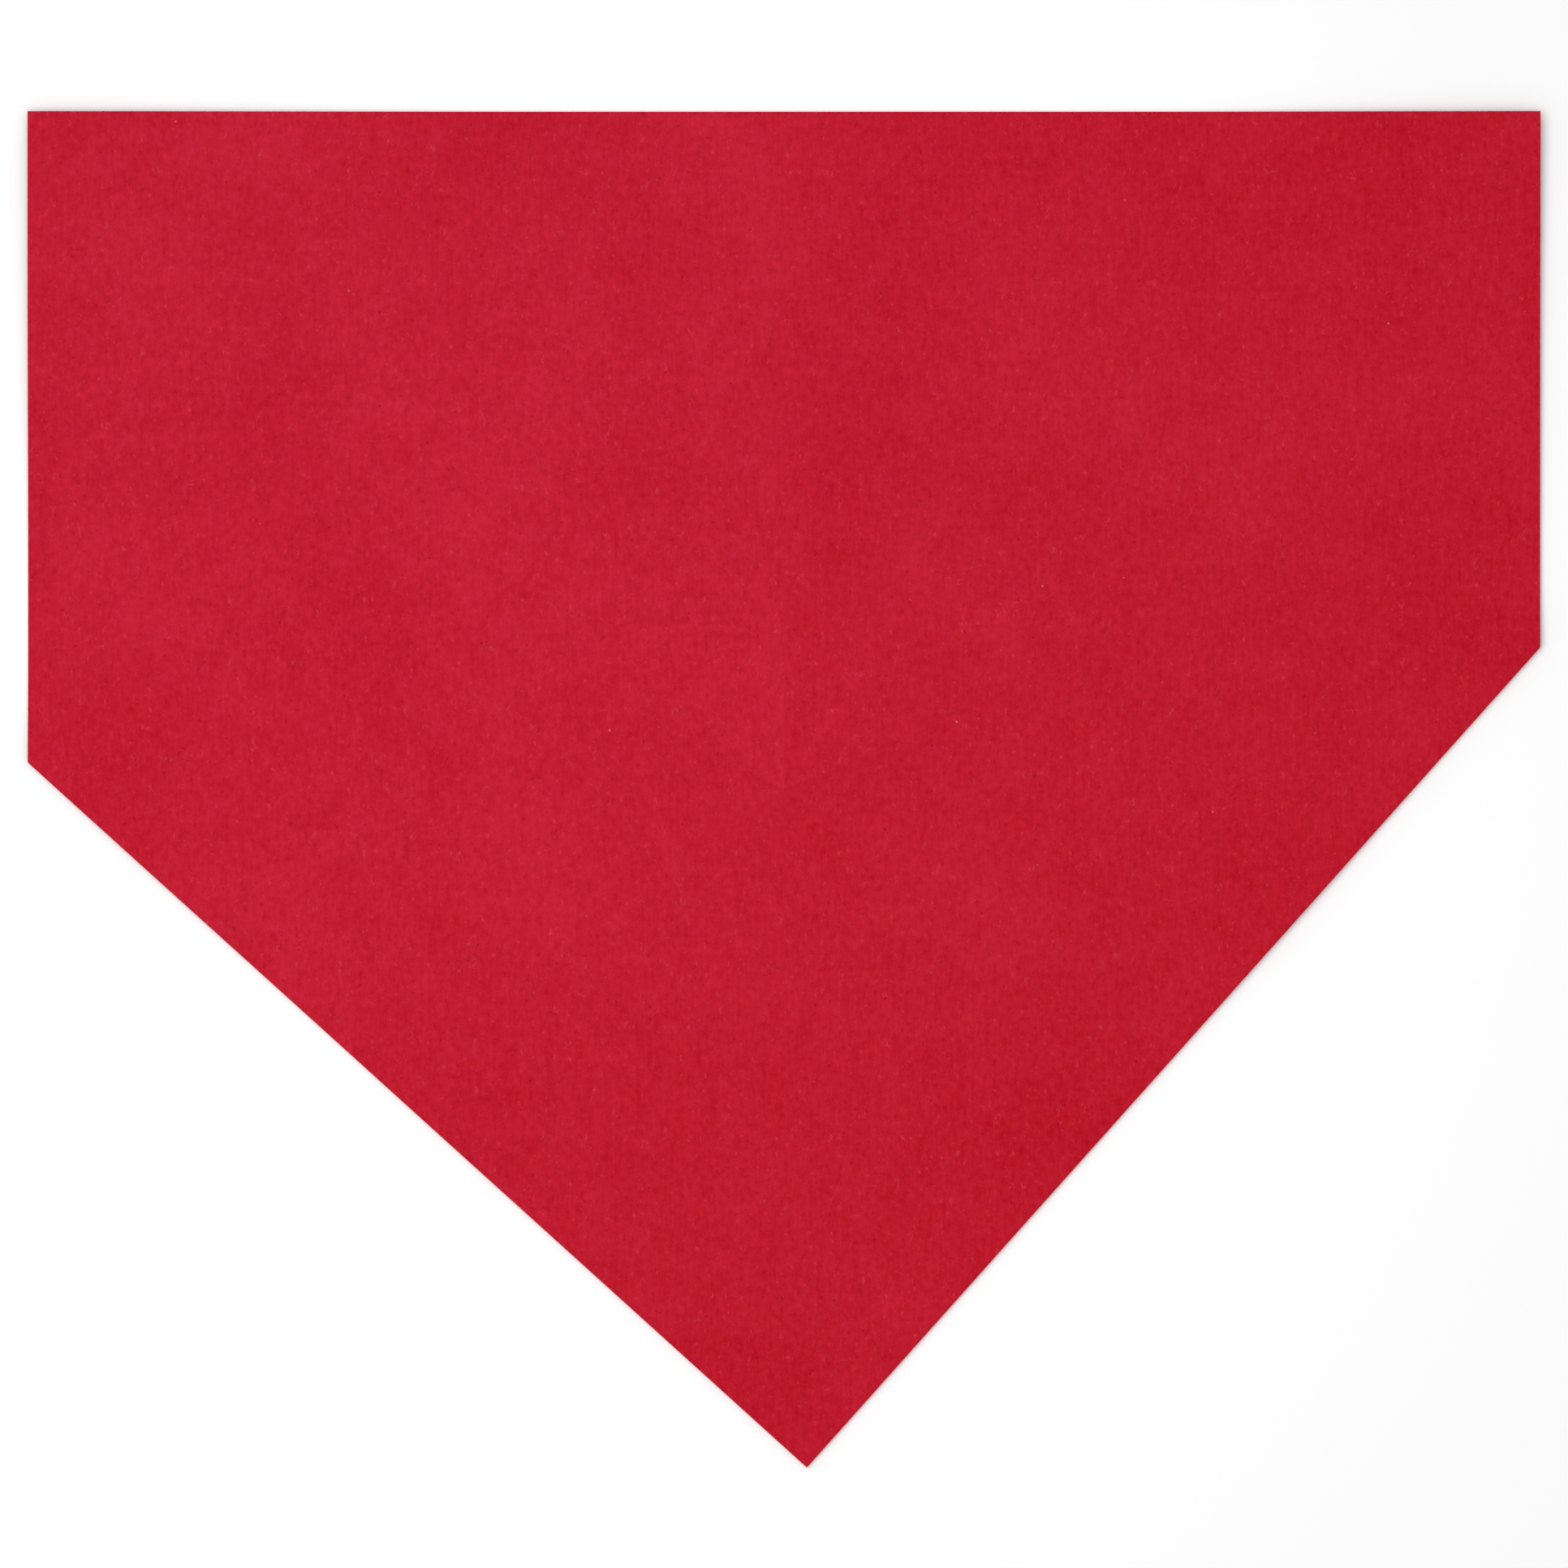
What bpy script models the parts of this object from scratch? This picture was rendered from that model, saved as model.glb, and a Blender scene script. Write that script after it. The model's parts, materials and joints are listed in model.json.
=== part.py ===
"""A paper airplane, lying flat and plain side up, with its two nose corners folded underneath.

One rectangular sheet has its two front corners folded under, which leaves a pentagon with a pointed
nose. A keel crease runs from the nose to the trailing edge, and a wing crease runs along each side
of it. Closing the keel stands its two sides up against each other, while the wings stay level.

Frame: +Z up, nose towards -Y, origin at the bottom centre of the flat airplane. Metres.
"""

from math import radians, tan

import bmesh
import bpy
from mathutils import Vector

# Driving dimensions.
SPAN = 0.210
LENGTH = 0.18835
NOSE_OFFSET = 0.00317  # the nose tip and the keel crease lie this far to the right of the centre
LEFT_NOSE_ANGLE = radians(42.15)  # between each nose edge and the trailing edge
RIGHT_NOSE_ANGLE = radians(48.20)
KEEL_DEPTH = 0.025
CREASE_WIDTH = 0.0008
PAPER = 0.00025
GAP = 0.0003  # between neighbouring pieces, and between the two layers

PAPER_RED = (0.515, 0.0123, 0.0307)
PAPER_ROUGHNESS = 0.85
MARKER_SIZE = 0.01

# Heights of the two layers.
FLAP_TOP = PAPER
SHEET_BOTTOM = FLAP_TOP + GAP
SHEET_TOP = SHEET_BOTTOM + PAPER

# Distances from the keel crease, the same on both sides.
SPINE_EDGE = CREASE_WIDTH / 2
KEEL_START = SPINE_EDGE + GAP
KEEL_END = KEEL_START + KEEL_DEPTH
CREASE_START = KEEL_END + GAP
CREASE_END = CREASE_START + CREASE_WIDTH
WING_START = CREASE_END + GAP
WING_END = SPAN  # beyond the side of the sheet

# Joint axes run along Y in the middle of the gaps: at the upper face where a panel folds up, and at
# the lower face where it folds down.
KEEL_AXIS = KEEL_START - GAP / 2
LEVEL_AXIS = CREASE_START - GAP / 2
LIFT_AXIS = WING_START - GAP / 2

LEFT = -1
RIGHT = 1
SIDES = {"left": LEFT, "right": RIGHT}

HALF_SPAN = SPAN / 2
TRAILING_Y = LENGTH / 2
NOSE = Vector((NOSE_OFFSET, -LENGTH / 2))


def shoulder(side):
    """The point where a nose edge meets the straight side of the sheet."""
    angle = LEFT_NOSE_ANGLE if side == LEFT else RIGHT_NOSE_ANGLE
    reach = HALF_SPAN - side * NOSE_OFFSET
    return Vector((side * HALF_SPAN, NOSE.y + reach * tan(angle)))


def sheet_outline():
    """The visible pentagon."""
    return [
        NOSE,
        shoulder(RIGHT),
        Vector((HALF_SPAN, TRAILING_Y)),
        Vector((-HALF_SPAN, TRAILING_Y)),
        shoulder(LEFT),
    ]


def edge_normal(side):
    """The unit normal of a nose edge that points into the sheet."""
    along = shoulder(side) - NOSE
    normal = Vector((-along.y, along.x)).normalized()
    return normal if normal.y > 0 else -normal


def folded_corner(side):
    """Where the sheet's front corner lands when it is folded over the nose edge."""
    corner = Vector((side * HALF_SPAN, NOSE.y))
    normal = edge_normal(side)
    return corner - 2 * (corner - NOSE).dot(normal) * normal


def clip(polygon, point, normal):
    """The part of a convex polygon on the side of a line that its normal points to."""
    kept = []
    for start, end in zip(polygon, polygon[1:] + polygon[:1]):
        from_line = (start - point).dot(normal)
        to_line = (end - point).dot(normal)
        if from_line >= 0:
            kept.append(start)
        if from_line * to_line < 0:
            kept.append(start.lerp(end, from_line / (from_line - to_line)))
    return kept


def band(polygon, low, high):
    """The part of a polygon between two distances to the right of the keel crease."""
    outward = Vector((1, 0))
    polygon = clip(polygon, NOSE + low * outward, outward)
    return clip(polygon, NOSE + high * outward, -outward)


def side_band(polygon, side, start, end):
    """The part of a polygon between two distances from the keel crease, on one side of it."""
    return band(polygon, *sorted((side * start, side * end)))


def behind_edge(polygon, side, depth):
    """The part of a polygon at least this far inside a nose edge."""
    normal = edge_normal(side)
    return clip(polygon, NOSE + depth * normal, normal)


def along_edge(polygon, side, depth):
    """The part of a polygon less than this far inside a nose edge."""
    normal = edge_normal(side)
    return clip(polygon, NOSE + depth * normal, -normal)


def meeting_normal():
    """The normal, pointing right, of the line from the nose on which the two flaps meet.

    It lies midway between the two flaps' own inner edges.
    """
    left_edge = (folded_corner(LEFT) - NOSE).normalized()
    right_edge = (folded_corner(RIGHT) - NOSE).normalized()
    meeting = (left_edge + right_edge).normalized()
    return Vector((meeting.y, -meeting.x))


def nose_flap(side):
    """The triangle of a folded-under nose corner, up to its half of the gap between the flaps."""
    normal = side * meeting_normal()
    triangle = [NOSE, shoulder(side), folded_corner(side)]
    return clip(triangle, NOSE + GAP / 2 * normal, normal)


def paper_material(name):
    material = bpy.data.materials.new(name + "_paper")
    material.use_nodes = True
    shader = material.node_tree.nodes["Principled BSDF"]
    shader.inputs["Base Color"].default_value = (*PAPER_RED, 1)
    shader.inputs["Roughness"].default_value = PAPER_ROUGHNESS
    shader.inputs["Metallic"].default_value = 0
    return material


def add_object(name, mesh_builder, hinge):
    """Adds a node whose mesh is given in the sheet's frame, under the empty it turns with."""
    mesh = bpy.data.meshes.new(name)
    bmesh.ops.recalc_face_normals(mesh_builder, faces=mesh_builder.faces)
    mesh_builder.to_mesh(mesh)
    mesh_builder.free()
    mesh.materials.append(paper_material(name))
    node = bpy.data.objects.new(name, mesh)
    bpy.context.collection.objects.link(node)
    if hinge:
        node.parent = hinge
        node.location = -world_place(hinge)
    return node


def world_place(empty):
    """An empty's place in the sheet's frame. No empty is turned, so its parents' places add up."""
    place = empty.location.copy()
    if empty.parent:
        place += world_place(empty.parent)
    return place


def hinge_empty(name, side, distance, height, parent):
    """An empty on a crease's axis, which carries what turns about it."""
    place = Vector((NOSE_OFFSET + side * distance, 0, height))
    empty = bpy.data.objects.new(name, None)
    empty.empty_display_size = MARKER_SIZE
    bpy.context.collection.objects.link(empty)
    if parent:
        empty.parent = parent
        place -= world_place(parent)
    empty.location = place
    return empty


def extrude(builder, faces, height):
    """Extrudes flat faces straight up or down to a height, and returns the moved faces."""
    edges = {edge for face in faces for edge in face.edges}
    made = bmesh.ops.extrude_face_region(builder, geom=[*faces, *edges])["geom"]
    for item in made:
        if isinstance(item, bmesh.types.BMVert):
            item.co.z = height
    return [item for item in made if isinstance(item, bmesh.types.BMFace)]


def stepped_plate(thin, thick, start, thin_end, thick_end):
    """A plate over two polygons that share an edge. Over the second it runs on to thick_end."""
    builder = bmesh.new()
    for polygon in (thin, thick):
        corners = [builder.verts.new((*corner, start)) for corner in polygon]
        builder.faces.new(corners)
    bmesh.ops.remove_doubles(builder, verts=builder.verts, dist=PAPER / 100)
    bmesh.ops.recalc_face_normals(builder, faces=builder.faces)
    thick_centre = sum((Vector(corner) for corner in thick), Vector((0, 0))) / len(thick)
    moved = extrude(builder, list(builder.faces), thin_end)
    nearest = min(moved, key=lambda face: (face.calc_center_median().xy - thick_centre).length)
    extrude(builder, [nearest], thick_end)
    return builder


def plate(polygon, bottom, top):
    """A plain plate over one polygon."""
    builder = bmesh.new()
    corners = [builder.verts.new((*corner, bottom)) for corner in polygon]
    builder.faces.new(corners)
    extrude(builder, list(builder.faces), top)
    return builder


def sheet_panel(name, side, start, end, hinge):
    """A panel of the plain upper layer. It stops short of the fold that wraps round its nose edge."""
    polygon = side_band(sheet_outline(), side, start, end)
    polygon = behind_edge(polygon, side, PAPER + GAP)
    add_object(name, plate(polygon, SHEET_BOTTOM, SHEET_TOP), hinge)


def flap_panel(name, side, start, end, hinge):
    """A panel of the folded-under layer. It stops short of the fold too."""
    polygon = side_band(nose_flap(side), side, start, end)
    polygon = behind_edge(polygon, side, PAPER + GAP)
    add_object(name, plate(polygon, 0, FLAP_TOP), hinge)


def fold_strip(name, side, start, end, hinge):
    """The bend along a nose edge, which joins the two layers and stands as high as both."""
    polygon = side_band(sheet_outline(), side, start, end)
    polygon = along_edge(polygon, side, PAPER)
    add_object(name, plate(polygon, 0, SHEET_TOP), hinge)


def flap_end(side):
    """A point on a flap's rear edge and that edge's normal, which points to the trailing edge."""
    along = shoulder(side) - folded_corner(side)
    normal = Vector((-along.y, along.x)).normalized()
    return shoulder(side), normal if normal.y > 0 else -normal


def crease_strip(name, side, low, high, hinge):
    """A narrow strip on a crease: both layers pressed together as far back as the flap reaches."""
    polygon = band(sheet_outline(), low, high)
    point, normal = flap_end(side)
    behind = clip(polygon, point, normal)
    doubled = clip(polygon, point, -normal)
    add_object(name, stepped_plate(behind, doubled, SHEET_TOP, SHEET_BOTTOM, 0), hinge)


def build_flap_overlap(hinge):
    """The sliver of the right flap that reaches past the keel crease, under the left keel side."""
    polygon = side_band(nose_flap(RIGHT), LEFT, KEEL_START, KEEL_END)
    add_object("right_flap_overlap", plate(polygon, 0, FLAP_TOP), hinge)


def build_side(word, side):
    """One keel side, its wing crease and its wing, each under the empty that it turns with."""
    keel_hinge = hinge_empty(word + "_keel_fold", side, KEEL_AXIS, SHEET_TOP, None)
    level_hinge = hinge_empty(word + "_wing_level", side, LEVEL_AXIS, 0, keel_hinge)
    lift_hinge = hinge_empty(word + "_wing_lift", side, LIFT_AXIS, SHEET_TOP, level_hinge)

    sheet_panel(word + "_keel_panel", side, KEEL_START, KEEL_END, keel_hinge)
    flap_panel(word + "_keel_nose_flap", side, KEEL_START, KEEL_END, keel_hinge)
    fold_strip(word + "_keel_nose_fold", side, KEEL_START, KEEL_END, keel_hinge)
    if side == LEFT:
        build_flap_overlap(keel_hinge)

    low, high = sorted((side * CREASE_START, side * CREASE_END))
    crease_strip(word + "_wing_crease", side, low, high, level_hinge)

    sheet_panel(word + "_wing_panel", side, WING_START, WING_END, lift_hinge)
    flap_panel(word + "_wing_nose_flap", side, WING_START, WING_END, lift_hinge)
    fold_strip(word + "_wing_nose_fold", side, WING_START, WING_END, lift_hinge)


def main():
    for old in list(bpy.data.objects):
        bpy.data.objects.remove(old, do_unlink=True)
    crease_strip("keel_spine", RIGHT, -SPINE_EDGE, SPINE_EDGE, None)
    for word, side in SIDES.items():
        build_side(word, side)


main()
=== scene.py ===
import json
import math

import bpy
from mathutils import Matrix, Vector


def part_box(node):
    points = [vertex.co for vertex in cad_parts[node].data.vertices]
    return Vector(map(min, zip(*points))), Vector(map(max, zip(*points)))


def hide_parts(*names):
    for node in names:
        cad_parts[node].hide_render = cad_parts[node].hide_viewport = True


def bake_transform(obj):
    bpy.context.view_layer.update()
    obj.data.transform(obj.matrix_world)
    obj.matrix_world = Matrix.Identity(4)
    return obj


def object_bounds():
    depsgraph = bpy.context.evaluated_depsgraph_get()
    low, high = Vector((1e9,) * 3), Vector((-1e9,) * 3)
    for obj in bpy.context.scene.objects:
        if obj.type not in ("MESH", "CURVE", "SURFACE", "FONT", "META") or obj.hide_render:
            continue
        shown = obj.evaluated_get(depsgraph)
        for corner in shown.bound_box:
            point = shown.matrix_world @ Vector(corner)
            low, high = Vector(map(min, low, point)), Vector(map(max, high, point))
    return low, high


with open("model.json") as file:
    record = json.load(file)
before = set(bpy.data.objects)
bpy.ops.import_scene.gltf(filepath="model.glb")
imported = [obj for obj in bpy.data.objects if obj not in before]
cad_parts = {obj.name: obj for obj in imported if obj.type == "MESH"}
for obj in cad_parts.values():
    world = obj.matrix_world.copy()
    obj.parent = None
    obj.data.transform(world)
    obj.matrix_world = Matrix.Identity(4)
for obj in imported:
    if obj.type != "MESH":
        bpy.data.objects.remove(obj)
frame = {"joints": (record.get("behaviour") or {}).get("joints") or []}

# A red paper airplane lying flat. Each half of the folded sheet is made of three pieces that meet in
# the middle of a panel or a crease strip, so that each piece spans one crease. A piece is one
# continuous stretch of paper: the plain layer, the round fold along the nose edge and the flap under it.
# A seventh piece is the part of the right flap that reaches past the keel crease.

cad_low, cad_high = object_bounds()

MM = 0.001

# How finely the sheet is divided
COLUMN_STEP = 2.4 * MM  # across the sheet
BEND_STEPS = 10  # across a crease
SUPPORT_STEPS = (0.06 * MM, 0.4 * MM)  # extra columns next to a crease, which keep its neighbours flat
SHEET_ROWS = 76  # along a column of the plain layer
FLAP_ROWS = 44
FOLD_ROWS = 14  # round the nose fold

LEAST_COLUMN = 0.025 * MM  # a column this close to the last one is left out

FLAP_SEAM = 0.12 * MM  # the gap between the two flaps' edges
NOSE_BLEND = 2 * MM  # over this distance from the nose tip one nose fold turns into the other
LEAST_FLAP = 0.05 * MM  # a flap is at least this long, also where it tapers to nothing
SHARP_ANGLE = 40  # degrees; the cut edges are sharper than this, and the folds are not
BACK_FACE_SHIFT = 0.5  # metres by which the texture of the sheet's inner face is shifted

# The sheet's shape, read from the CAD frame
SIGN = {"left": -1, "right": 1}
panel_low, panel_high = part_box("left_wing_panel")
flap_low, flap_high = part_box("right_flap_overlap")
SHEET_TOP = panel_high.z
SHEET_BOTTOM = panel_low.z
FLAP_TOP = flap_high.z
MIDDLE_Z = SHEET_TOP / 2
OUTER_RADIUS = SHEET_TOP / 2
INNER_RADIUS = (SHEET_BOTTOM - FLAP_TOP) / 2
TRAILING_Y = cad_high.y
HALF_SPAN = cad_high.x


def joint_place(name):
    return Vector(next(joint["pos_m"] for joint in frame["joints"] if joint["name"] == name))


KEEL_X = (joint_place("left_keel_fold").x + joint_place("right_keel_fold").x) / 2
NOSE = Vector((KEEL_X, cad_low.y))


def inner_x(word, node):
    """The x of the side of a node that faces the keel crease."""
    low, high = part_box(f"{word}_{node}")
    return high.x if word == "left" else low.x


def outer_x(word, node):
    """The x of the side of a node that faces away from the keel crease."""
    low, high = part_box(f"{word}_{node}")
    return low.x if word == "left" else high.x


def measured_nose_angle(word):
    """The angle between a nose edge and the X axis."""
    low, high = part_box(f"{word}_wing_nose_fold")
    return math.atan2(low.y - NOSE.y, abs(inner_x(word, "wing_nose_fold") - NOSE.x))


NOSE_ANGLE = {word: measured_nose_angle(word) for word in SIGN}
# The flaps meet on a line from the nose tip that leans to the left of the keel crease by this much.
MEETING_LEAN = NOSE_ANGLE["right"] - NOSE_ANGLE["left"]


def nose_edge_y(word, x):
    return NOSE.y + abs(x - NOSE.x) * math.tan(NOSE_ANGLE[word])


def flap_rear_y(word, x):
    """The y of a flap's rear edge, which was the side edge of the sheet before it was folded under."""
    shoulder_x = SIGN[word] * HALF_SPAN
    return nose_edge_y(word, shoulder_x) + abs(x - shoulder_x) / math.tan(2 * NOSE_ANGLE[word])


def meeting_y(x, shift):
    """The y of the line on which the flaps meet, moved to its left by a distance."""
    return NOSE.y + (NOSE.x - x) / math.tan(MEETING_LEAN) - shift / math.sin(MEETING_LEAN)


def smoothstep(value):
    value = min(max(value, 0.0), 1.0)
    return value * value * (3 - 2 * value)


def fold_stretch(word, x):
    """How much longer the nose fold's section is along Y than across the fold."""
    own = 1 / math.cos(NOSE_ANGLE[word])
    shared = sum(1 / math.cos(angle) for angle in NOSE_ANGLE.values()) / len(NOSE_ANGLE)
    return shared + (own - shared) * smoothstep(abs(x - NOSE.x) / NOSE_BLEND)


def fold_centre_y(word, x):
    return nose_edge_y(word, x) + OUTER_RADIUS * fold_stretch(word, x)


# Gentle waves of the loose sheet start beyond the wing creases and only ever lift it.
WAVE_START = 6 * MM  # beyond a wing crease
WAVE_FADE = 45 * MM  # over this distance the waves grow to their full height
CORNER_LIFT = 1.1 * MM
CORNER_REACH = 62 * MM
RIPPLE_LIFT = 0.35 * MM
RIPPLE_LENGTH = 74 * MM
RIPPLE_SLANT = 0.4
WAVE_PLACE = abs(outer_x("left", "wing_crease") - KEEL_X) + WAVE_START


def lift(x, y):
    """How far the waves lift a place on the paper."""
    side = -1 if x < KEEL_X else 1
    loose = smoothstep((abs(x - KEEL_X) - WAVE_PLACE) / WAVE_FADE)
    corner = Vector((side * HALF_SPAN, TRAILING_Y))
    near_corner = smoothstep(1 - (Vector((x, y)) - corner).length / CORNER_REACH)
    ripple = math.sin((y + RIPPLE_SLANT * side * x) * 2 * math.pi / RIPPLE_LENGTH + side)
    return loose * (CORNER_LIFT * near_corner + RIPPLE_LIFT * (1 + ripple) / 2)


# Away from the nose fold the upper layer settles onto the flaps, and behind them onto the floor.
SETTLED = 0.24 * MM  # how far it comes down onto the flaps
SETTLE_LENGTH = 14 * MM
SINK_LENGTH = 9 * MM
KEEL_REACH = 24 * MM  # within this distance of the keel crease the sheet sinks behind the longer flap
LONGER_FLAP_Y = max(flap_rear_y(word, KEEL_X) for word in SIGN)


def sink_start(word, x):
    """The y behind which the sheet is one layer."""
    own = flap_rear_y(word, x)
    return LONGER_FLAP_Y + (own - LONGER_FLAP_Y) * smoothstep(abs(x - KEEL_X) / KEEL_REACH)


def sag(word, x, y):
    """How far the upper layer has come down at a place."""
    settled = SETTLED * smoothstep((y - fold_centre_y(word, x)) / SETTLE_LENGTH)
    return settled + (SHEET_BOTTOM - SETTLED) * smoothstep((y - sink_start(word, x)) / SINK_LENGTH)


def unfolded(word, x, y):
    """Where a point of a flap lies on the sheet before it is folded under."""
    angle = NOSE_ANGLE[word]
    normal = Vector((-SIGN[word] * math.sin(angle), math.cos(angle)))
    point = Vector((x, y))
    return point - 2 * (point - NOSE).dot(normal) * normal


def spread(start, end, count):
    """Evenly spaced values from start up to, and without, end."""
    return [start + (end - start) * step / count for step in range(count)]


def sheet_section(word, x):
    """The folded sheet's section at x, as rows of (outer point, inner point, sheet place, wear)."""
    centre = fold_centre_y(word, x)
    stretch = fold_stretch(word, x)
    end = flap_rear_y(word, x)
    if word == "left":
        end = min(end, meeting_y(x, FLAP_SEAM / 2))
    end = max(end, centre + LEAST_FLAP)

    rows = []
    for y in spread(TRAILING_Y, centre, SHEET_ROWS):
        down = sag(word, x, y)
        rows.append(((y, SHEET_TOP - down), (y, SHEET_BOTTOM - down), Vector((x, y)), 0))
    first, last = Vector((x, centre)), unfolded(word, x, centre)
    for turn in spread(0, math.pi, FOLD_ROWS):
        across, up = -math.sin(turn) * stretch, math.cos(turn)
        outer = (centre + OUTER_RADIUS * across, MIDDLE_Z + OUTER_RADIUS * up)
        inner = (centre + INNER_RADIUS * across, MIDDLE_Z + INNER_RADIUS * up)
        rows.append((outer, inner, first.lerp(last, turn / math.pi), math.sin(turn)))
    for y in [*spread(centre, end, FLAP_ROWS), end]:
        rows.append(((y, 0), (y, FLAP_TOP), unfolded(word, x, y), 0))
    return rows


def overlap_section(word, x):
    """The section at x of the right flap where it reaches past the keel crease."""
    start = max(meeting_y(x, -FLAP_SEAM / 2), fold_centre_y("left", x) + 2 * LEAST_FLAP)
    end = max(flap_rear_y("right", x), start + LEAST_FLAP)
    return [
        ((y, 0), (y, FLAP_TOP), unfolded("right", x, y), 0)
        for y in [*spread(start, end, FLAP_ROWS), end]
    ]


def columns(start, end, bend_start, bend_end, extra):
    """The x of each column of a piece: close together over its crease, wider apart elsewhere."""
    step = math.copysign(1, end - start)
    chosen = [start, end, *extra]
    chosen += [*spread(bend_start, bend_end, BEND_STEPS), bend_end]
    for support in SUPPORT_STEPS:
        chosen += [bend_start - step * support, bend_end + step * support]
    for low, high in ((start, bend_start), (bend_end, end)):
        count = max(1, round(abs(high - low) / COLUMN_STEP))
        chosen += spread(low, high, count)[1:]
    inside = [x for x in chosen if min(start, end) <= x <= max(start, end)]
    kept = []
    for x in sorted(inside):
        if not kept or x - kept[-1] > LEAST_COLUMN:
            kept.append(x)
    return kept


def paper_faces(count, rows):
    """The faces of a closed strip, as point numbers: its outer side, its inner side and its cut edges."""

    def at(layer, column, row):
        return (layer * count + column) * rows + row

    outside, inside, cut = [], [], []
    for column in range(count - 1):
        after = column + 1
        for row in range(rows - 1):
            corners = ((column, row), (column, row + 1), (after, row + 1), (after, row))
            outside.append([at(0, *corner) for corner in corners])
            inside.append([at(1, *corner) for corner in reversed(corners)])
        for row, step in ((0, 1), (rows - 1, -1)):
            corners = ((0, column), (0, after), (1, after), (1, column))
            cut.append([at(*corner, row) for corner in corners][::step])
    for column, step in ((0, 1), (count - 1, -1)):
        for row in range(rows - 1):
            corners = ((0, row + 1), (0, row), (1, row), (1, row + 1))
            cut.append([at(layer, column, place) for layer, place in corners][::step])
    return outside, inside, cut


def add_paper(name, word, section, places):
    """A closed strip of paper through the sections at a row of places."""
    sections = [section(word, x) for x in places]
    points, sheet_places, wear = [], [], []
    for layer in (0, 1):
        for x, lines in zip(places, sections):
            for line in lines:
                y, z = line[layer]
                points.append((x, y, z + lift(x, y)))
                sheet_places.append(line[2])
                wear.append(line[3])
    outside, inside, cut = paper_faces(len(places), len(sections[0]))

    mesh = bpy.data.meshes.new(name)
    mesh.from_pydata(points, [], outside + inside + cut)
    mesh.materials.append(face_paper)
    mesh.materials.append(edge_paper)
    uv = mesh.uv_layers.new(name=SHEET_MAP)
    first_inside, first_cut = len(outside), len(outside) + len(inside)
    for face in mesh.polygons:
        face.material_index = 1 if face.index >= first_cut else 0
        shift = BACK_FACE_SHIFT if first_inside <= face.index < first_cut else 0
        for loop in face.loop_indices:
            place = sheet_places[mesh.loops[loop].vertex_index]
            uv.data[loop].uv = (place.x + shift, place.y)
    attribute = mesh.attributes.new(WEAR, "FLOAT", "POINT")
    attribute.data.foreach_set("value", wear)
    mesh.shade_smooth()
    mesh.set_sharp_from_angle(angle=math.radians(SHARP_ANGLE))
    piece = bpy.data.objects.new(name, mesh)
    bpy.context.scene.collection.objects.link(piece)
    return piece


# Paper

SHEET_MAP = "sheet"
WEAR = "wear"

PAPER_DARK = (0.414, 0.0001, 0.0090, 1)
PAPER_LIGHT = (0.531, 0.0128, 0.0335, 1)
WORN = (0.66, 0.050, 0.075, 1)
DARK_FLECK = (0.33, 0.0001, 0.004, 1)
SPECK_LIGHT = (0.75, 0.22, 0.25, 1)
SPECK_DARK = (0.20, 0.001, 0.006, 1)
TINT = (0, 0, 0.013)  # the dye leans a little to blue in places, and away from it in others

# Painted light: the sheet's colour is made a little brighter and bluer round one place, a painted pool of
# light where more light falls.
PAINTED_LIGHT_POOL = (0.014, 0.0020, 0.0070)
PAINTED_LIGHT_PLACE = (-55 * MM, 60 * MM, 0)
PAINTED_LIGHT_REACH = 180 * MM

# The width and length of each kind of blotch and fibre
CLOUD_SIZE = (26 * MM, 34 * MM)
FORMATION_SIZE = (4.2 * MM, 5.0 * MM)
MOTTLE_SIZE = (1.15 * MM, 1.15 * MM)
GRAIN_SIZE = (0.45 * MM, 0.6 * MM)
STREAK_SIZE = (0.5 * MM, 3.2 * MM)
FLECK_SIZE = (0.80 * MM, 0.90 * MM)
TINT_SIZE = (2.6 * MM, 3.4 * MM)
PALE_HAIR_SIZE = (1.1 * MM, 2.2 * MM)
DARK_HAIR_SIZE = (1.9 * MM, 1.2 * MM)
HAIR_GAP_SIZE = (1.7 * MM, 1.7 * MM)
SPECK_SIZE = 0.20 * MM

# How rough the edges of the blotches are, from 0 to 1
MOTTLE_ROUGHNESS = 0.55
FLECK_ROUGHNESS = 0.4
TINT_ROUGHNESS = 0.6
NOISE_MIDDLE = 0.5  # the value that a noise varies about

# How much each kind of blotch counts in the tone, and the sum at which the tone is darkest
CLOUD_SHARE = 0.50
FORMATION_SHARE = 0.40
MOTTLE_SHARE = 1.00
GRAIN_SHARE = 0.22
STREAK_SHARE = 0.40
DARKEST_SUM = 0.76

# How strongly flecks, hairs and specks cover the dyed colour
DARK_FLECKS = 0.40
PALE_FLECKS = 0.22
HAIRS = 0.35
PALE_SPECKS = 0.35
DARK_SPECKS = 0.6

# The stretch of the fleck noise, from 0 to 1, over which a fleck fades in
DARK_FLECK_RAMP = (0.34, 0.22)
PALE_FLECK_RAMP = (0.68, 0.80)

HAIR_WIDTH = 0.022  # as a difference in the noise whose middle the hairs follow
HAIR_SOFTNESS = 0.08
PALE_HAIR_GAPS = 0.55  # hairs are left out where the gap noise is below this
DARK_HAIR_GAPS = 0.58

PALE_SPECK_SPACING = 12 * MM
PALE_SPECK_SHARE = 0.15
DARK_SPECK_SPACING = 7 * MM
DARK_SPECK_SHARE = 0.25
SPECK_SOFTNESS = 0.3

FOLD_WEAR = 0.30
FOLD_WEAR_POWER = 3  # gathers the wear on the crest of a fold
CUT_EDGE_WEAR = 0.25
WEAR_RAMP = (0.3, 0.75)  # the grain's high places wear first

LEAST_ROUGHNESS = 0.80
ROUGHNESS_SPAN = 0.12
ROUGHNESS_RAMP = (0.2, 0.8)
SPECULAR = 0.1
BUMP_HEIGHT = 0.06 * MM
BUMP_GRAIN = 0.6
BUMP_HAIRS = 0.3


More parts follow.
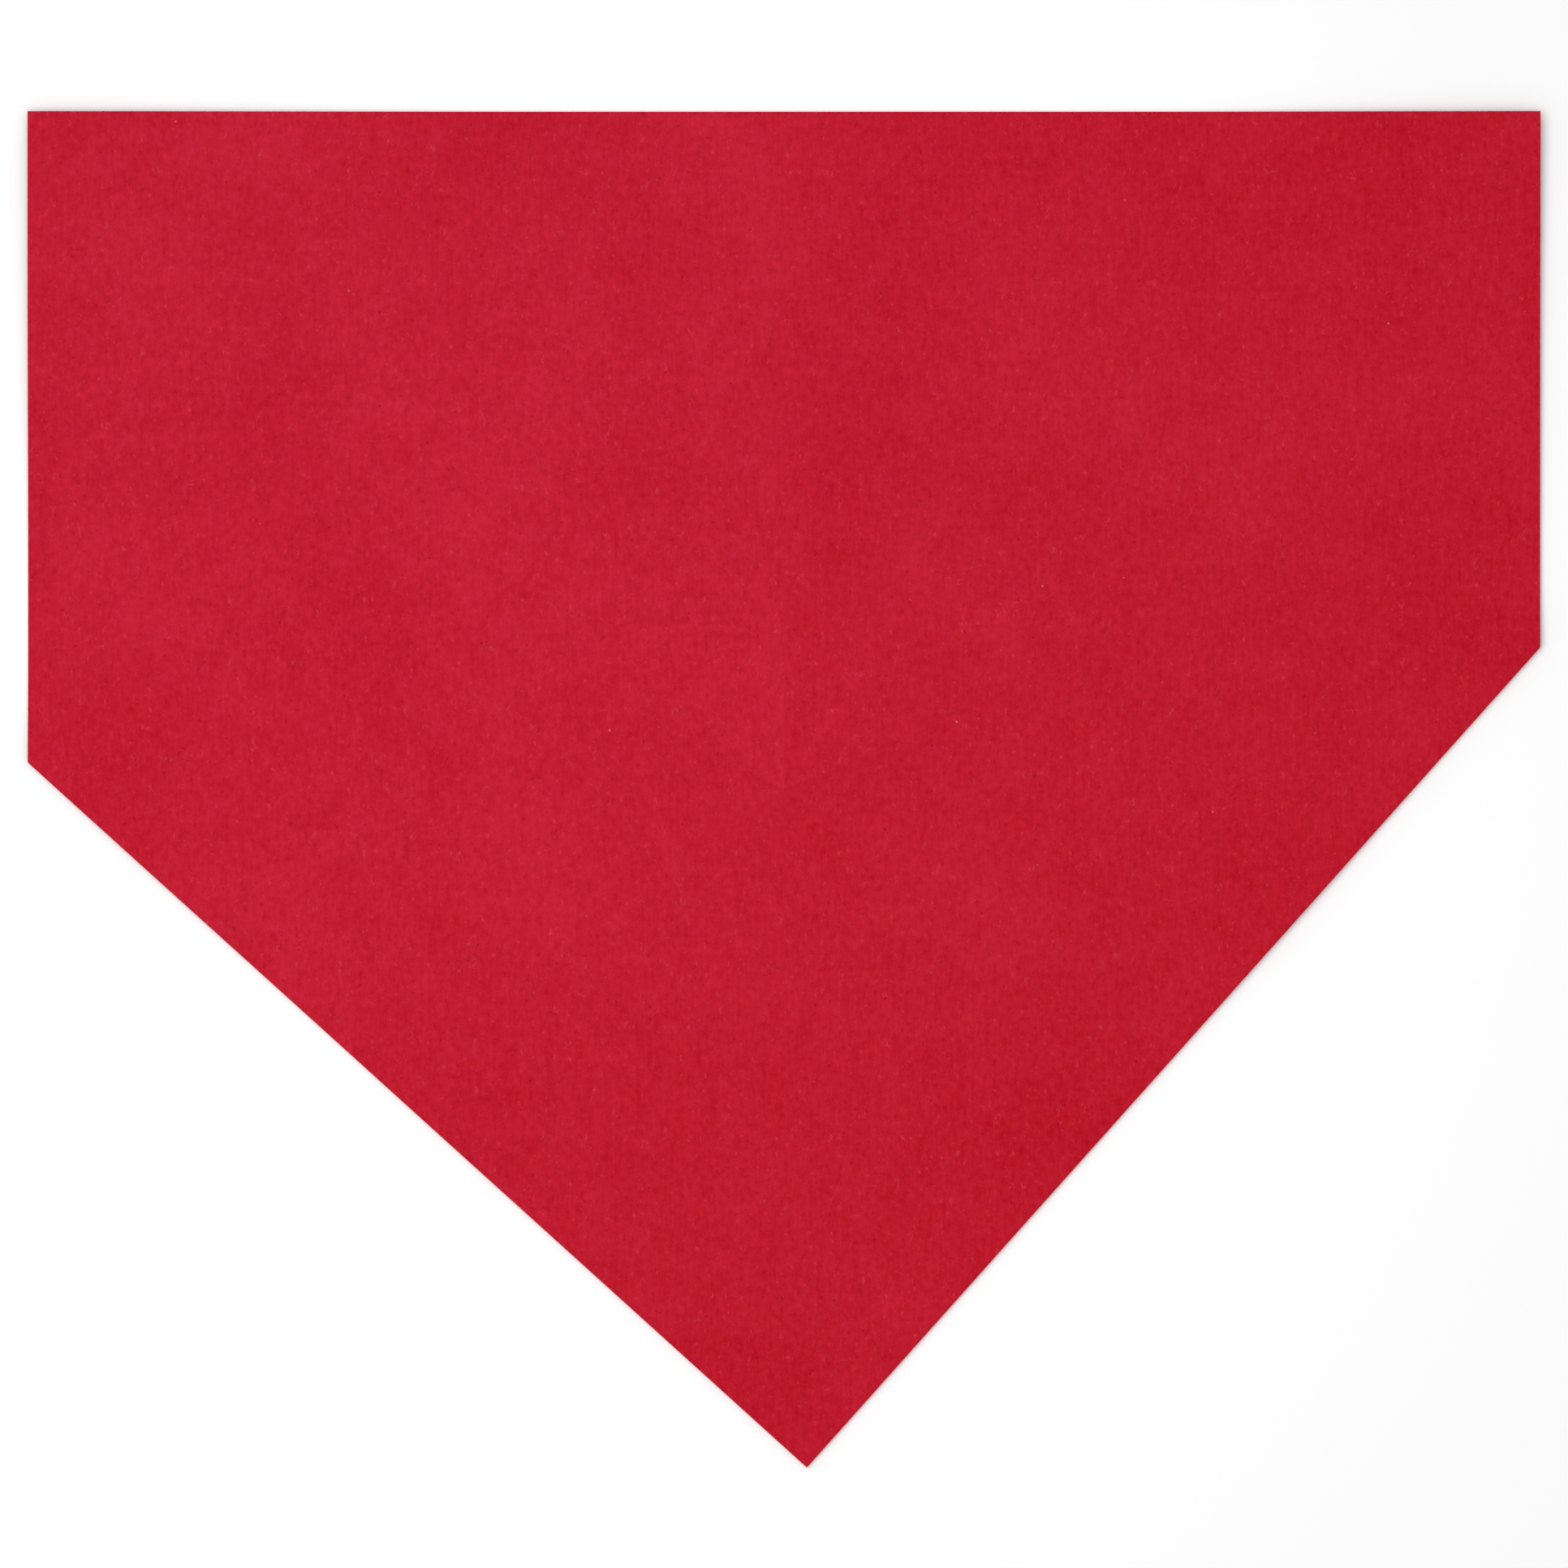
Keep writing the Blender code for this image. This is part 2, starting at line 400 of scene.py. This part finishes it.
def connect(tree, socket, value):
    """Links a socket from another one, or sets it to a value."""
    if isinstance(value, bpy.types.NodeSocket):
        tree.links.new(value, socket)
    else:
        socket.default_value = value


def add_node(tree, kind, inputs=None, **settings):
    """Adds a node. Each input is a value to set, or a socket to link from."""
    node = tree.nodes.new(kind)
    for key, value in settings.items():
        setattr(node, key, value)
    for key, value in (inputs or {}).items():
        connect(tree, node.inputs[key], value)
    return node


def maths(tree, operation, *values):
    inputs = dict(enumerate(values))
    return add_node(tree, "ShaderNodeMath", inputs, operation=operation).outputs[0]


def scaled(tree, place, size):
    """The sheet's coordinates in units of a width and a length."""
    wide, long = size
    inputs = {"Vector": place, "Scale": (1 / wide, 1 / long, 1)}
    return add_node(tree, "ShaderNodeMapping", inputs, vector_type="POINT").outputs[0]


def noise(tree, place, size, detail, roughness=0.5):
    """Soft noise with blotches of about a width and length, from 0 to 1."""
    inputs = {
        "Vector": scaled(tree, place, size),
        "Scale": 1,
        "Detail": detail,
        "Roughness": roughness,
    }
    return add_node(tree, "ShaderNodeTexNoise", inputs, noise_dimensions="2D").outputs[0]


def ramp(tree, value, low, high):
    """Turns the stretch from low to high into 0 to 1, with soft ends."""
    inputs = {"Value": value, "From Min": low, "From Max": high}
    node = add_node(tree, "ShaderNodeMapRange", inputs, interpolation_type="SMOOTHSTEP")
    return node.outputs[0]


def mixed(tree, share, first, second):
    """A colour between two others. The share is kept between 0 and 1."""
    node = add_node(tree, "ShaderNodeMix", data_type="RGBA")
    colour_inputs = [socket for socket in node.inputs if socket.type == "RGBA"]
    connect(tree, node.inputs[0], share)
    connect(tree, colour_inputs[0], first)
    connect(tree, colour_inputs[1], second)
    return next(socket for socket in node.outputs if socket.type == "RGBA")


def covered(tree, colour, cover, where, strength):
    """A colour with another laid over it in places."""
    return mixed(tree, maths(tree, "MULTIPLY", where, strength), colour, cover)


def shifted(tree, colour, shift, where):
    """A colour with another added to it in places."""
    inputs = {0: where, 1: shift, 2: colour}
    return add_node(tree, "ShaderNodeVectorMath", inputs, operation="MULTIPLY_ADD").outputs[0]


def hairs(tree, place, size, gaps):
    """Short thin fibres: the lines on which a noise crosses its middle, broken up by another."""
    from_middle = maths(tree, "SUBTRACT", noise(tree, place, size, 1), NOISE_MIDDLE)
    line = ramp(tree, maths(tree, "ABSOLUTE", from_middle), HAIR_WIDTH, 0)
    broken = ramp(tree, noise(tree, place, HAIR_GAP_SIZE, 1), gaps, gaps + HAIR_SOFTNESS)
    return maths(tree, "MULTIPLY", line, broken)


def specks(tree, place, spacing, share):
    """Sparse round dots. Only that share of the cells holds one."""
    inputs = {"Vector": scaled(tree, place, (spacing, spacing)), "Scale": 1, "Randomness": 1}
    cells = add_node(tree, "ShaderNodeTexVoronoi", inputs, voronoi_dimensions="2D")
    cell_value = add_node(tree, "ShaderNodeSeparateColor", {0: cells.outputs["Color"]}).outputs[0]
    radius = maths(tree, "MULTIPLY", ramp(tree, cell_value, 1 - share, 1), SPECK_SIZE / spacing)
    dot = maths(tree, "SUBTRACT", radius, cells.outputs["Distance"])
    return ramp(tree, dot, 0, SPECK_SOFTNESS * SPECK_SIZE / spacing)


def dyed_with_painted_light(tree, place, mottle, grain):
    """The paper's dye colour, its tone and its tint, with a painted pool of light round one place."""
    shares = (
        (noise(tree, place, CLOUD_SIZE, 2), CLOUD_SHARE),
        (noise(tree, place, FORMATION_SIZE, 2), FORMATION_SHARE),
        (mottle, MOTTLE_SHARE),
        (grain, GRAIN_SHARE),
        (noise(tree, place, STREAK_SIZE, 1), STREAK_SHARE),
    )
    tone = -DARKEST_SUM
    for blotches, share in shares:
        tone = maths(tree, "MULTIPLY_ADD", blotches, share, tone)
    colour = mixed(tree, tone, PAPER_DARK, PAPER_LIGHT)
    tint = noise(tree, place, TINT_SIZE, 3, TINT_ROUGHNESS)
    colour = shifted(tree, colour, TINT, maths(tree, "SUBTRACT", tint, NOISE_MIDDLE))
    # Painted light: a brighter, bluer pool round one place, added to the colour where more light falls.
    inputs = {0: place, 1: PAINTED_LIGHT_PLACE}
    away = add_node(tree, "ShaderNodeVectorMath", inputs, operation="DISTANCE").outputs["Value"]
    return shifted(tree, colour, PAINTED_LIGHT_POOL, ramp(tree, away, PAINTED_LIGHT_REACH, 0))


def make_paper(name, extra_wear):
    """Dyed, uncoated paper: cloudy formation, fine fibres along the sheet, stray fibres and specks."""
    material = bpy.data.materials.new(name)
    material.use_nodes = True
    tree = material.node_tree
    shader = tree.nodes["Principled BSDF"]
    place = add_node(tree, "ShaderNodeUVMap", uv_map=SHEET_MAP).outputs[0]
    turned_left = scaled(tree, place, (-1, 1))
    turned_back = scaled(tree, place, (1, -1))

    mottle = noise(tree, place, MOTTLE_SIZE, 2, MOTTLE_ROUGHNESS)
    grain = noise(tree, place, GRAIN_SIZE, 1)
    flecks = noise(tree, place, FLECK_SIZE, 2, FLECK_ROUGHNESS)
    pale_hairs = hairs(tree, place, PALE_HAIR_SIZE, PALE_HAIR_GAPS)
    dark_hairs = hairs(tree, turned_left, DARK_HAIR_SIZE, DARK_HAIR_GAPS)
    pale_specks = specks(tree, place, PALE_SPECK_SPACING, PALE_SPECK_SHARE)
    dark_specks = specks(tree, turned_back, DARK_SPECK_SPACING, DARK_SPECK_SHARE)

    # The base colour built here carries a painted pool of light round one place.
    colour = dyed_with_painted_light(tree, place, mottle, grain)
    colour = covered(tree, colour, DARK_FLECK, ramp(tree, flecks, *DARK_FLECK_RAMP), DARK_FLECKS)
    colour = covered(tree, colour, WORN, ramp(tree, flecks, *PALE_FLECK_RAMP), PALE_FLECKS)
    colour = covered(tree, colour, WORN, pale_hairs, HAIRS)
    colour = covered(tree, colour, PAPER_DARK, dark_hairs, HAIRS)
    colour = covered(tree, colour, SPECK_LIGHT, pale_specks, PALE_SPECKS)
    colour = covered(tree, colour, SPECK_DARK, dark_specks, DARK_SPECKS)

    folded = add_node(tree, "ShaderNodeAttribute", attribute_name=WEAR).outputs["Fac"]
    crest = maths(tree, "POWER", folded, FOLD_WEAR_POWER)
    worn = maths(tree, "MULTIPLY_ADD", crest, FOLD_WEAR, extra_wear)
    worn = maths(tree, "MULTIPLY", worn, ramp(tree, grain, *WEAR_RAMP))
    connect(tree, shader.inputs["Base Color"], mixed(tree, worn, colour, WORN))

    roughness = ramp(tree, mottle, *ROUGHNESS_RAMP)
    roughness = maths(tree, "MULTIPLY_ADD", roughness, ROUGHNESS_SPAN, LEAST_ROUGHNESS)
    connect(tree, shader.inputs["Roughness"], roughness)
    shader.inputs["Specular IOR Level"].default_value = SPECULAR

    height = maths(tree, "MULTIPLY_ADD", grain, BUMP_GRAIN, mottle)
    height = maths(tree, "MULTIPLY_ADD", pale_hairs, BUMP_HAIRS, height)
    bump = add_node(tree, "ShaderNodeBump", {"Height": height, "Strength": 1, "Distance": BUMP_HEIGHT})
    connect(tree, shader.inputs["Normal"], bump.outputs[0])
    return material


face_paper = make_paper("red_paper_face", 0)
edge_paper = make_paper("red_paper_cut_edge", CUT_EDGE_WEAR)


# The pieces

def seam_x(word):
    """The middle of a keel side, where its two pieces meet."""
    return (inner_x(word, "keel_panel") + outer_x(word, "keel_panel")) / 2


def crease_x(word):
    """The middle of a wing crease strip, where its two pieces meet."""
    return (inner_x(word, "wing_crease") + outer_x(word, "wing_crease")) / 2


def crossing(first, second, low, high):
    """The x between low and high where two heights that are straight lines in x are equal."""
    at_low = first(low) - second(low)
    at_high = first(high) - second(high)
    return low + (high - low) * at_low / (at_low - at_high)


def add_bending(name, word, section, start, end, bend, nodes, extra=()):
    """One stretch of paper from start to end, with its columns close together over one crease. The CAD
    parts it covers are hidden.
    """
    piece = add_paper(name, word, section, columns(start, end, *bend, extra))
    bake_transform(piece)
    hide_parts(*nodes)


def keel_bend(word):
    """The x at which the paper starts to bend at the keel crease, and the x at which it stops."""
    low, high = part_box("keel_spine")
    spine_edge = low.x if word == "left" else high.x
    return spine_edge, inner_x(word, "keel_panel")


def add_half(word, spine_nodes=(), flap_corner=()):
    """The three pieces of one half of the airplane."""
    level_bend = (outer_x(word, "keel_panel"), inner_x(word, "wing_crease"))
    lift_bend = (outer_x(word, "wing_crease"), inner_x(word, "wing_panel"))
    tip_x = SIGN[word] * HALF_SPAN
    add_bending(
        f"{word}_keel_paper", word, sheet_section, NOSE.x, seam_x(word),
        keel_bend(word), [f"{word}_keel_panel", *spine_nodes], flap_corner,
    )
    add_bending(
        f"{word}_wing_root_paper", word, sheet_section, seam_x(word), crease_x(word),
        level_bend,
        [f"{word}_keel_nose_flap", f"{word}_keel_nose_fold", f"{word}_wing_crease"],
    )
    add_bending(
        f"{word}_wing_paper", word, sheet_section, crease_x(word), tip_x,
        lift_bend,
        [f"{word}_wing_panel", f"{word}_wing_nose_flap", f"{word}_wing_nose_fold"],
    )


left_flap_corner = crossing(
    lambda x: meeting_y(x, FLAP_SEAM / 2), lambda x: flap_rear_y("left", x), NOSE.x, seam_x("left")
)
overlap_end = crossing(
    lambda x: meeting_y(x, -FLAP_SEAM / 2), lambda x: flap_rear_y("right", x), NOSE.x, seam_x("left")
)
add_half("left", ["keel_spine"], [left_flap_corner])
add_half("right")
add_bending(
    "right_flap_overlap_paper", "right", overlap_section, NOSE.x, overlap_end,
    keel_bend("left"), ["right_flap_overlap"],
)


# Floor, light and camera

FLOOR_SIZE = 12
FLOOR_DROP = 0.05 * MM  # the floor is this far below the paper
FLOOR_COLOUR = (0.95, 0.95, 0.95, 1)
FLOOR_ROUGHNESS = 0.9
WORLD_STRENGTH = 0.70
KEY_PLACE = (-0.065, 0.015, 0.32)
KEY_SIZE = 0.25
KEY_POWER = 0.36
SUN_PLACE = (-0.6, 0.5, 1)  # only its direction counts
SUN_ANGLE = 40  # degrees
SUN_STRENGTH = 0.50
LENS = 200
FRAME_WIDTH = 0.21766
FRAME_CENTRE_Y = 0.00078
FRAMED_HEIGHT = 1.2 * MM  # the height at which the frame is that wide


def add_floor():
    half = FLOOR_SIZE / 2
    corners = [(-half, -half, 0), (half, -half, 0), (half, half, 0), (-half, half, 0)]
    mesh = bpy.data.meshes.new("floor")
    mesh.from_pydata(corners, [], [(0, 1, 2, 3)])
    material = bpy.data.materials.new("floor")
    material.use_nodes = True
    shader = material.node_tree.nodes["Principled BSDF"]
    shader.inputs["Base Color"].default_value = FLOOR_COLOUR
    shader.inputs["Roughness"].default_value = FLOOR_ROUGHNESS
    shader.inputs["Specular IOR Level"].default_value = SPECULAR
    mesh.materials.append(material)
    floor = bpy.data.objects.new("floor", mesh)
    floor.location.z = -FLOOR_DROP
    bpy.context.scene.collection.objects.link(floor)


def add_lamp(name, kind, place, strength):
    """A lamp that shines on the object from a place, or from the direction of a place."""
    light = bpy.data.lights.new(name, kind)
    light.energy = strength
    lamp = bpy.data.objects.new(name, light)
    lamp.location = place
    lamp.rotation_euler = (-Vector(place)).to_track_quat("-Z", "Y").to_euler()
    bpy.context.scene.collection.objects.link(lamp)
    return light


def add_world():
    world = bpy.data.worlds.new("world")
    world.use_nodes = True
    background = world.node_tree.nodes["Background"]
    background.inputs["Color"].default_value = (1, 1, 1, 1)
    background.inputs["Strength"].default_value = WORLD_STRENGTH
    bpy.context.scene.world = world


def add_camera():
    data = bpy.data.cameras.new("camera")
    data.lens = LENS
    distance = FRAME_WIDTH * LENS / data.sensor_width
    camera = bpy.data.objects.new("camera", data)
    camera.location = (0, FRAME_CENTRE_Y, distance + FRAMED_HEIGHT)
    bpy.context.scene.collection.objects.link(camera)
    bpy.context.scene.camera = camera


add_floor()
add_lamp("key", "AREA", KEY_PLACE, KEY_POWER).size = KEY_SIZE
add_lamp("sun", "SUN", SUN_PLACE, SUN_STRENGTH).angle = math.radians(SUN_ANGLE)
add_world()
add_camera()
bpy.context.scene.view_settings.view_transform = "Standard"
